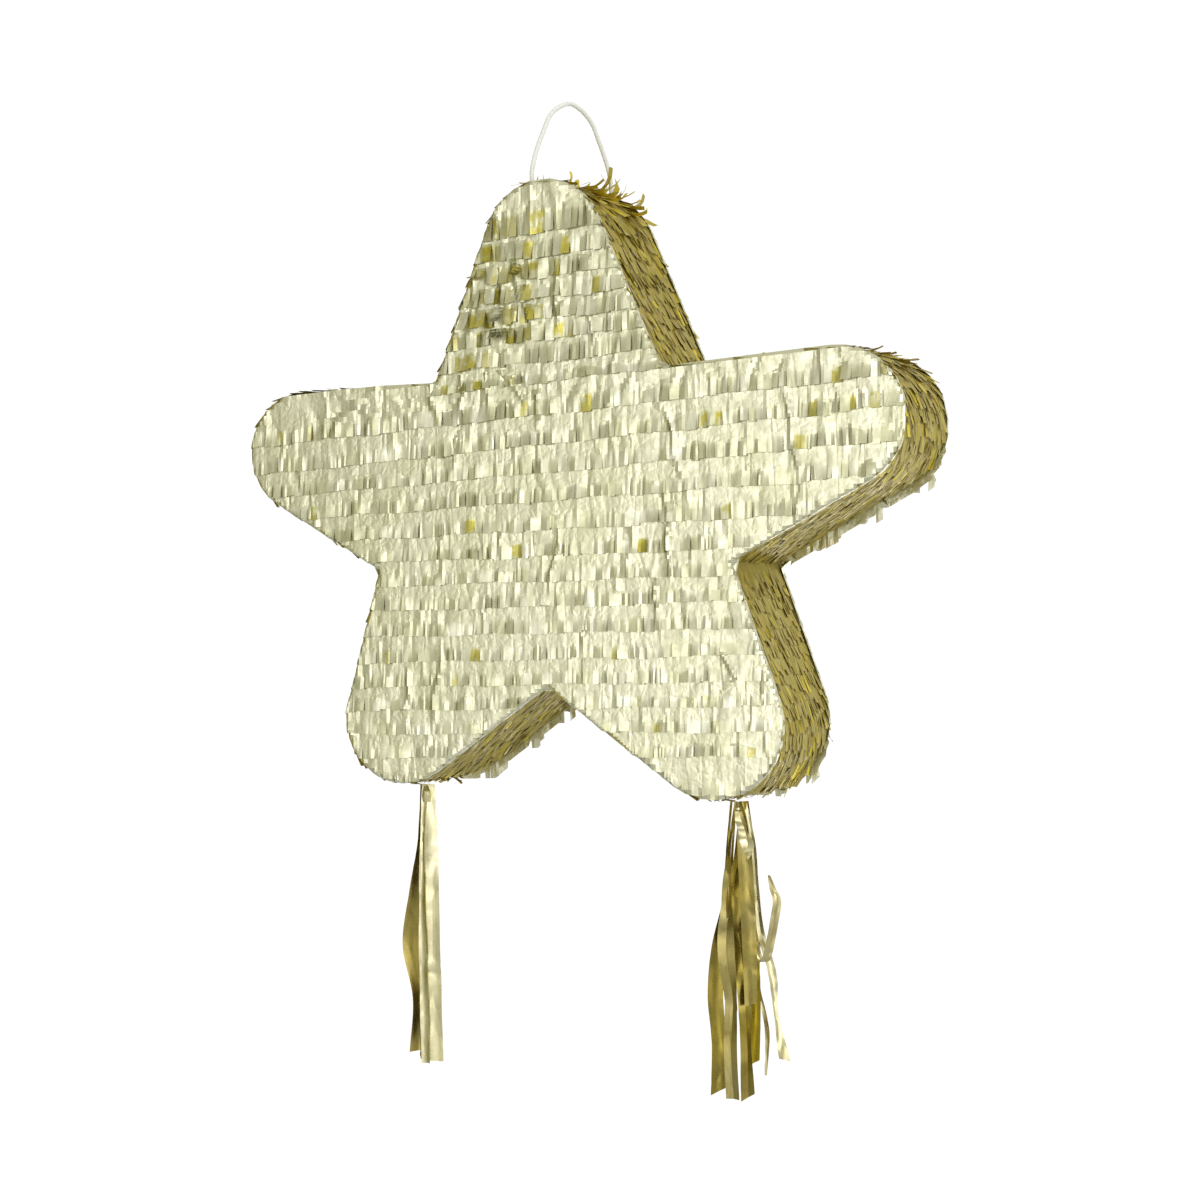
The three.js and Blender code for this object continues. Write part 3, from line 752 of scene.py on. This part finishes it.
RIGHT_STREAMERS = [
    {"drop": 138, "crease": 0.9, "gold": 0.9,
     "x": [-3.6, -6.2, -7.6, -11.0, -13.0, -11.6, -12.6], "y": [-1, -1, -1.6, -2, -2.4, -2, -1.8],
     "width": [1.2, 1.6, 2.2, 6.8, 7.4, 7.2, 7.4], "facing": [40, 44, 30, 14, 20, 8, 10]},
    {"drop": 96, "crease": 0.7, "gold": 0.8,
     "x": [1.4, 3.2, 4.2, 4.8, 5.0, 4.6], "y": [-2, -3, -3.2, -3, -2.6, -2.2],
     "width": [2.8, 6.6, 7.2, 7.2, 6.8, 5.6], "facing": [4, 2, 6, 10, 16, 30]},
    {"drop": 141, "crease": 1.6, "gold": 0.7,
     "x": [-1.6, -4.6, -5.4, -6.4, -4.6, -5.4, -4.8], "y": [0, -2.6, -3.6, -4.4, -2.8, -3.4, -2.8],
     "width": [1.6, 1.6, 6.8, 8.0, 7.2, 6.4, 6.4], "facing": [-10, 24, -26, 24, -18, 12, 6]},
    {"drop": 140, "crease": 1.4, "gold": 0.9,
     "x": [0.6, -1.4, -3.0, -0.6, 1.4, 2.0, 2.4], "y": [1, 0, -1.2, -1, -1.4, -1.6, -1.8],
     "width": [2, 2, 8.2, 7.6, 6.4, 6.2, 6.6], "facing": [20, -20, 34, -24, 18, -12, 12]},
    {"drop": 124, "crease": 0.6, "gold": 1,
     "x": [2.2, 3.2, 4.4, 5.2, 5.6, 4.6], "y": [1.6, 2.4, 2.4, 2.6, 2.4, 2],
     "width": [3, 5.6, 6, 5.2, 4.6, 4.6], "facing": [60, 66, 60, 52, 40, 34]},
    {"drop": 134, "crease": 0.8, "gold": 1,
     "x": [-2.4, -4.8, -6.4, -7.4, -8.2, -7.8], "y": [2.4, 2.6, 3, 3.4, 3, 3],
     "width": [1.6, 1.8, 5.6, 6, 6, 6], "facing": [-54, -30, -50, -30, -44, -34]},
    {"drop": 122, "crease": 0.6, "gold": 0.1,
     "x": [2.0, 5.4, 6.6, 8.2, 13.6, 15.4, 19.6], "y": [2, 3, 3.4, 3.6, 3.4, 3, 2.4],
     "width": [1.8, 2.4, 2.4, 3.4, 4.2, 3.2, 5.4], "facing": [30, 34, 24, 18, 42, 66, 10]},
    {"drop": 130, "crease": 0.2, "gold": 0.1,
     "x": [3.0, 5.2, 6.4, 7.0, 6.6, 10.6, 9.6], "y": [3, 3.6, 4, 4.4, 4, 3.6, 3.4],
     "width": [1.6, 2, 2.2, 1.6, 1.2, 2.8, 1.0], "facing": [-20, -14, 10, 30, 10, -14, -10]},
    {"drop": 27, "crease": 1.5, "gold": 0.25,
     "x": [0.6, 1.8, 4.0, 5.6, 5.0], "y": [-3, -4.4, -5, -4.6, -4],
     "width": [2, 4.2, 6.4, 6.2, 1.2], "facing": [-10, 12, -24, 20, 50]},
]
# A torn streamer that turns up: its middle across, back and down from the tassel's, and width.
TORN_STREAMER = [
    (6.2, 2, 66, 2.6), (8.4, 1.4, 74, 3.6), (11.4, 1, 74, 4.2), (14.4, 0.8, 64, 4.2), (16.4, 1, 54, 4.2),
    (17.6, 1.2, 46, 4), (15.4, 1.4, 40, 3), (13.8, 1.4, 34, 1.2),
]


def evenly(values, count):
    """Values at even steps, drawn out to more steps without kinks."""
    spans = len(values) - 1
    fine = smooth_line([[value] for value in values], 24)[:, 0]
    return np.interp(np.linspace(0, spans * 24, count), np.arange(len(fine)), fine)


def ribbon(rng, middle, width, facing, crease, gold):
    """A foil streamer along a line of points, with a crease down it, dents and a slanting end."""
    rows = len(middle)
    across = np.linspace(-0.5, 0.5, STREAMER_COLUMNS)[None, :]
    turn = np.radians(facing)[:, None]
    down = np.linspace(0, 1, rows)[:, None]
    dents = np.zeros((rows, STREAMER_COLUMNS))
    for _ in range(7):
        place, lean = rng.uniform(0.05, 0.97), rng.normal(0, 0.05)
        dents += rng.normal(0, 0.3) * np.exp(-(((down - place - lean * across) / 0.012) ** 2))
    ruffle = 0.35 * np.sin(down * rng.uniform(14, 26) + rng.uniform(0, 6)) * across
    out = crease * (np.abs(across) * 2 - 0.5) * np.minimum(1, down * 6) + dents + ruffle
    side = across * width[:, None]
    slant = rng.uniform(-0.6, 0.6) * side * down**12
    points = np.stack(
        [
            middle[:, 0:1] + side * np.cos(turn) + out * np.sin(turn),
            middle[:, 1:2] + side * np.sin(turn) - out * np.cos(turn),
            middle[:, 2:3] + slant,
        ],
        axis=-1,
    ).reshape(-1, 3)
    index = np.arange(rows * STREAMER_COLUMNS).reshape(rows, STREAMER_COLUMNS)
    size = rows * STREAMER_COLUMNS
    # A streamer's painted gold reflection and painted sheen are even along it.
    tones = {"gold": np.full(size, gold), "painted_sheen": np.full(size, rng.random()), "loose": np.ones(size)}
    area = (np.linalg.norm(np.diff(middle, axis=0), axis=1) * (width[1:] + width[:-1]) / 2).sum()
    return (points, grid_faces(index), tones), area


def tassel(side, settings, torn, order, material):
    """A tassel's streamers, which bend where they hang from its neck."""
    rng = np.random.default_rng(SEED + 400 + order)
    low, high = (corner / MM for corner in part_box(f"tassel_{side}_neck"))
    x, top = (low.x + high.x) / 2, high.z
    parts, area = [], 0
    for setting in settings:
        middle = np.stack(
            [
                x + evenly(setting["x"], STREAMER_ROWS),
                evenly(setting["y"], STREAMER_ROWS),
                top + STREAMER_START - setting["drop"] * np.linspace(0, 1, STREAMER_ROWS),
            ],
            axis=1,
        )
        width = evenly(setting["width"], STREAMER_ROWS)
        facing = evenly(setting["facing"], STREAMER_ROWS)
        part, part_area = ribbon(rng, middle, width, facing, setting["crease"], setting["gold"])
        parts.append(part)
        area += part_area
    if torn:
        fine = smooth_line(torn, 8)
        middle = np.stack([x + fine[:, 0], fine[:, 1], top - fine[:, 2]], axis=1)
        part, part_area = ribbon(rng, middle, fine[:, 3], np.full(len(fine), 28.0), 0.6, 0.4)
        parts.append(part)
        area += part_area
    points, faces, tones = joined(parts)
    streamers = make_piece(f"tassel_{side}_streamers_foil", points, faces, material, tones)
    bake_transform(streamers)
    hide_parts(*(f"tassel_{side}_streamer_{number}" for number in range(1, 5)))


# -------- materials


class Shader:
    """A material's nodes, added one after another."""

    def __init__(self, name):
        self.material = bpy.data.materials.new(name)
        self.material.use_nodes = True
        self.tree = self.material.node_tree
        self.surface = self.tree.nodes["Principled BSDF"]

    def add(self, kind, inputs=None, **settings):
        node = self.tree.nodes.new(kind)
        for key, value in settings.items():
            setattr(node, key, value)
        for key, value in (inputs or {}).items():
            self.feed(node.inputs[key], value)
        return node

    def feed(self, socket, value):
        if isinstance(value, bpy.types.NodeSocket):
            self.tree.links.new(value, socket)
        else:
            socket.default_value = value

    def place(self, scale=(1, 1, 1)):
        """Object coordinates, stretched."""
        coordinates = self.add("ShaderNodeTexCoord").outputs["Object"]
        return self.add("ShaderNodeMapping", {"Vector": coordinates, "Scale": scale}).outputs[0]

    def noise(self, vector, scale, detail=3, roughness=0.5):
        inputs = {"Vector": vector, "Scale": scale, "Detail": detail, "Roughness": roughness}
        return self.add("ShaderNodeTexNoise", inputs).outputs[0]

    def cells(self, vector, scale):
        """How far a place is from the edge of its cell, among cells of all shapes."""
        inputs = {"Vector": vector, "Scale": scale}
        return self.add("ShaderNodeTexVoronoi", inputs, feature="DISTANCE_TO_EDGE").outputs[0]

    def ranged(self, value, low, high, to_low, to_high):
        inputs = {"Value": value, 1: low, 2: high, 3: to_low, 4: to_high}
        return self.add("ShaderNodeMapRange", inputs).outputs[0]

    def mixed(self, factor, one, two):
        """A blend of two colours."""
        node = self.add("ShaderNodeMix", data_type="RGBA")
        for socket, value in ((node.inputs[0], factor), (node.inputs[6], one), (node.inputs[7], two)):
            self.feed(socket, value)
        return node.outputs[2]

    def value(self, name):
        return self.add("ShaderNodeAttribute", attribute_name=name).outputs["Fac"]

    def maths(self, operation, one, two):
        return self.add("ShaderNodeMath", {0: one, 1: two}, operation=operation).outputs[0]

    def bump(self, height, strength, distance, normal=None):
        inputs = {"Height": height, "Strength": strength, "Distance": distance}
        if normal is not None:
            inputs["Normal"] = normal
        return self.add("ShaderNodeBump", inputs).outputs[0]

    def finish(self, **inputs):
        for key, value in inputs.items():
            self.feed(self.surface.inputs[key.replace("_", " ").title()], value)
        return self.material


def foil(name, pale, light, deep, dark, metallic=0.9, roughness=(0.22, 0.38), relief=0.5, patchy=0):
    """Metallised foil: pale to light where its painted reflection attribute is 0, deep to dark at 1.

    The deep and dark colours are painted reflection, and painted glints where they are bright. Its
    painted sheen varies the pale colour. Where its loose attribute is 0 the foil is crumpled, and where
    it is 1 it has fine lines down it. patchy is how far the painted reflection is broken up.
    """
    shader = Shader(name)
    plain, drawn_out = shader.place(), shader.place((1, 1, 0.22))
    # Painted reflection: noise patches brighten and dull the painted sheen and move the painted gold between
    # deep and dark.
    patches = shader.noise(plain, 34, 2)
    painted_sheen = shader.ranged(shader.value("painted_sheen"), 0, 1, 0.1, 0.9)
    painted_sheen = shader.maths("MULTIPLY", painted_sheen, shader.ranged(patches, 0.3, 0.7, 0.5, 1.3))
    colour = shader.mixed(painted_sheen, light, pale)
    painted_gold_colour = shader.mixed(shader.ranged(patches, 0.35, 0.65, 0, 1), deep, dark)
    # Breaks the painted gold reflection up into small patches.
    gold_reflection_breakup = shader.ranged(shader.noise(plain, 190, 2), 0.36, 0.5, 1 - patchy, 1)
    colour = shader.mixed(shader.maths("MULTIPLY", shader.value("gold"), gold_reflection_breakup), colour, painted_gold_colour)
    loose = shader.value("loose")
    streaks = shader.noise(drawn_out, 430, 2, 0.5)
    crinkle = shader.ranged(shader.cells(drawn_out, 120), 0, 0.1, 0, 1)
    crumples = shader.ranged(shader.cells(plain, 260), 0, 0.3, 0, 0.6)
    crumpled = shader.maths("ADD", shader.noise(plain, 330, 2, 0.6), crumples)
    crumpled = shader.maths("MULTIPLY", crumpled, shader.maths("SUBTRACT", 1, loose))
    normal = shader.bump(streaks, 0.22 * relief, 0.0006)
    normal = shader.bump(crinkle, 0.18 * relief, 0.0004, normal)
    normal = shader.bump(crumpled, 0.2 * relief, 0.0008, normal)
    rough = shader.ranged(shader.noise(plain, 210, 3), 0.35, 0.65, *roughness)
    return shader.finish(base_color=colour, metallic=metallic, roughness=rough, normal=normal)


def cardboard(name):
    """Plain brown card with fibres and faint flutes."""
    shader = Shader(name)
    fibres = shader.noise(shader.place((1, 1, 0.3)), 900, 4, 0.65)
    blotches = shader.noise(shader.place(), 45, 2)
    colour = shader.mixed(shader.ranged(fibres, 0.3, 0.7, 0, 1), (0.34, 0.2, 0.1, 1), (0.5, 0.33, 0.18, 1))
    colour = shader.mixed(shader.ranged(blotches, 0.3, 0.7, 0, 0.4), colour, (0.3, 0.18, 0.09, 1))
    flutes = shader.add("ShaderNodeTexWave", {"Vector": shader.place(), "Scale": 48, "Distortion": 0.6})
    normal = shader.bump(fibres, 0.35, 0.0003, shader.bump(flutes.outputs[1], 0.2, 0.0004))
    rough = shader.ranged(fibres, 0.3, 0.7, 0.8, 0.95)
    return shader.finish(base_color=colour, roughness=rough, normal=normal)


def wood(name):
    """Raw pale wood with a drawn-out grain."""
    shader = Shader(name)
    grain = shader.noise(shader.place((9, 1, 9)), 60, 5, 0.6)
    paler = shader.ranged(grain, 0.35, 0.65, 0, 1)
    colour = shader.mixed(paler, (0.42, 0.25, 0.11, 1), (0.66, 0.45, 0.24, 1))
    rough = shader.ranged(grain, 0.3, 0.7, 0.6, 0.8)
    return shader.finish(base_color=colour, roughness=rough, normal=shader.bump(grain, 0.3, 0.0004))


def white_cord(name):
    """White cotton: fine fibres and soft shading."""
    shader = Shader(name)
    fibres = shader.noise(shader.place(), 3800, 3, 0.7)
    patches = shader.noise(shader.place(), 160, 2)
    colour = shader.mixed(shader.ranged(fibres, 0.3, 0.7, 0, 1), (0.9, 0.92, 0.99, 1), (0.97, 0.98, 1, 1))
    colour = shader.mixed(shader.ranged(patches, 0.4, 0.7, 0, 0.3), colour, (0.86, 0.88, 0.95, 1))
    rough = shader.ranged(fibres, 0.3, 0.7, 0.75, 0.95)
    return shader.finish(base_color=colour, roughness=rough, normal=shader.bump(fibres, 0.4, 0.0002))


def floor_paint(name):
    """A pale matt floor."""
    shader = Shader(name)
    patches = shader.noise(shader.place(), 1.2, 3)
    colour = shader.mixed(shader.ranged(patches, 0.3, 0.7, 0, 1), (0.71, 0.73, 0.84, 1), (0.77, 0.79, 0.9, 1))
    return shader.finish(base_color=colour, roughness=0.8)


# -------- the studio


def make_camera():
    """The camera, level with the star and to the right of its front."""
    yaw, down, roll = (math.radians(angle) for angle in (CAMERA_YAW, CAMERA_DOWN, CAMERA_ROLL))
    ahead = Vector((-math.sin(yaw) * math.cos(down), math.cos(yaw) * math.cos(down), -math.sin(down)))
    right = Vector((math.cos(yaw), math.sin(yaw), 0))
    upward = right.cross(ahead)
    turned_right = right * math.cos(roll) + upward * math.sin(roll)
    turned_up = upward * math.cos(roll) - right * math.sin(roll)
    data = bpy.data.cameras.new("camera")
    data.lens = CAMERA_LENS
    data.sensor_width = 36
    data.clip_start, data.clip_end = 0.01, 50
    camera = bpy.data.objects.new("camera", data)
    rotation = Matrix((turned_right, turned_up, -ahead)).transposed().to_4x4()
    camera.matrix_world = Matrix.Translation(CAMERA_PLACE) @ rotation
    bpy.context.scene.collection.objects.link(camera)
    bpy.context.scene.camera = camera


def towards(azimuth, elevation):
    """The direction to something seen from the star, in degrees; azimuth 0 is the front."""
    a, e = math.radians(azimuth), math.radians(elevation)
    return (math.sin(a) * math.cos(e), -math.cos(a) * math.cos(e), math.sin(e))


def make_world():
    """Soft studio light all round, brightest in front. The camera sees plain white behind."""
    world = bpy.data.worlds.new("studio")
    world.use_nodes = True
    tree = world.node_tree
    tree.nodes.clear()

    def add(kind, **settings):
        node = tree.nodes.new(kind)
        for key, value in settings.items():
            setattr(node, key, value)
        return node

    direction = add("ShaderNodeTexCoord").outputs["Generated"]
    light = None
    for azimuth, elevation, inner, outer, strength in SOFT_LIGHTS + DARK_PATCHES:
        facing = add("ShaderNodeVectorMath", operation="DOT_PRODUCT")
        tree.links.new(direction, facing.inputs[0])
        facing.inputs[1].default_value = towards(azimuth, elevation)
        fade = add("ShaderNodeMapRange", interpolation_type="SMOOTHSTEP")
        tree.links.new(facing.outputs["Value"], fade.inputs[0])
        limits = (math.cos(math.radians(outer)), math.cos(math.radians(inner)), 0, strength)
        for socket, value in zip(list(fade.inputs)[1:5], limits):
            socket.default_value = value
        if light is None:
            light = fade.outputs[0]
            continue
        total = add("ShaderNodeMath", operation="ADD")
        tree.links.new(fade.outputs[0], total.inputs[0])
        tree.links.new(light, total.inputs[1])
        light = total.outputs[0]
    base, patches, seen = (add("ShaderNodeBackground") for _ in range(3))
    base.inputs[0].default_value = WORLD_TINT
    base.inputs[1].default_value = WORLD_BASE
    patches.inputs[0].default_value = (1, 1, 1, 1)
    tree.links.new(light, patches.inputs[1])
    lit = add("ShaderNodeAddShader")
    tree.links.new(base.outputs[0], lit.inputs[0])
    tree.links.new(patches.outputs[0], lit.inputs[1])
    seen.inputs[1].default_value = 1.05
    seen.inputs[0].default_value = (1, 1, 1, 1)
    chosen, output = add("ShaderNodeMixShader"), add("ShaderNodeOutputWorld")
    tree.links.new(add("ShaderNodeLightPath").outputs["Is Camera Ray"], chosen.inputs[0])
    tree.links.new(lit.outputs[0], chosen.inputs[1])
    tree.links.new(seen.outputs[0], chosen.inputs[2])
    tree.links.new(chosen.outputs[0], output.inputs[0])
    bpy.context.scene.world = world


def make_lamp(name, azimuth, elevation, distance, size, power):
    """A square soft box that faces the star."""
    data = bpy.data.lights.new(name, "AREA")
    data.size = size
    data.energy = power
    lamp = bpy.data.objects.new(name, data)
    middle = (CAD_BOX[0] + CAD_BOX[1]) / 2
    back = Vector(towards(azimuth, elevation))
    lamp.location = middle + back * distance
    lamp.rotation_euler = back.to_track_quat("Z", "Y").to_euler()
    bpy.context.scene.collection.objects.link(lamp)


def make_floor(material):
    """A round pale floor, well below the tassels."""
    angles = 2 * math.pi * np.arange(FLOOR_SIDES) / FLOOR_SIDES
    radii = np.array([0.5, 0.8, 1]) * FLOOR_RADIUS
    rings = [np.stack([r * np.cos(angles), r * np.sin(angles), 0 * angles], axis=1) for r in radii]
    points = np.vstack([[[0, 0, 0]], *rings]) + [0, 0, FLOOR_HEIGHT]
    index = 1 + np.arange(len(radii) * FLOOR_SIDES).reshape(len(radii), FLOOR_SIDES)
    index = np.hstack([index, index[:, :1]])
    middle = [(0, start, finish) for start, finish in zip(index[0, :-1], index[0, 1:])]
    mesh = bpy.data.meshes.new("floor")
    mesh.from_pydata(points * MM, [], grid_faces(index).tolist() + middle)
    mesh.materials.append(material)
    floor = bpy.data.objects.new("floor", mesh)
    bpy.context.scene.collection.objects.link(floor)


# -------- the build

make_camera()
cord_material = white_cord("white_cord")
hanging_cord(cord_material)

# Face foil: light to pale is its painted sheen, deep and dark its painted gold reflection.
face_foil = foil(
    "face_foil",
    (0.84, 0.83, 0.71, 1), (0.7, 0.69, 0.47, 1), (0.74, 0.65, 0.1, 1), (0.42, 0.37, 0.06, 1),
    patchy=0.8,
)
# Side foil: the face foil's colours darker and more olive, painted shade of the star's sides; its bright deep
# gold is painted glints.
side_foil = foil(
    "side_foil",
    (0.56, 0.46, 0.12, 1), (0.4, 0.32, 0.06, 1), (0.98, 0.8, 0.04, 1), (0.5, 0.4, 0.03, 1),
    metallic=0.56, roughness=(0.34, 0.5), relief=0.45, patchy=0.4,
)
# Tassel foil: its deep and dark gold is painted reflection and painted shade, given per streamer.
tassel_foil = foil(
    "tassel_foil",
    (0.86, 0.81, 0.58, 1), (0.74, 0.68, 0.42, 1), (0.4, 0.3, 0.02, 1), (0.23, 0.17, 0.012, 1),
)

front_creases, back_creases = face_creases(SEED + 1000), face_creases(SEED + 1001)
for order, name in enumerate(FRONT_STRIPS):
    front_strip(name, order, front_creases, face_foil)
back_fringe(back_creases, face_foil)
flap_fringe(back_creases, face_foil)
for order, (name, points) in enumerate(sorted(side_paths().items())):
    side_fringe(name, points, order, side_foil)
tassel("left", LEFT_STREAMERS, None, 0, tassel_foil)
tassel("right", RIGHT_STREAMERS, TORN_STREAMER, 1, tassel_foil)

card, slat_wood = cardboard("cardboard"), wood("slat_wood")
for name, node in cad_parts.items():
    if name.startswith("side_wall") or name in ("front_panel", "back_panel", "fill_flap"):
        node.data.materials[0] = card
    elif name.startswith("cord_knot"):
        node.data.materials[0] = cord_material
    elif name == "hanging_slat":
        node.data.materials[0] = slat_wood
    elif name.endswith("_tie") or name.endswith("_neck"):
        node.data.materials[0] = tassel_foil

make_world()
make_floor(floor_paint("floor_paint"))
make_lamp("key", 48, 22, 2.0, 0.9, 7)
bpy.context.scene.view_settings.view_transform = "Standard"
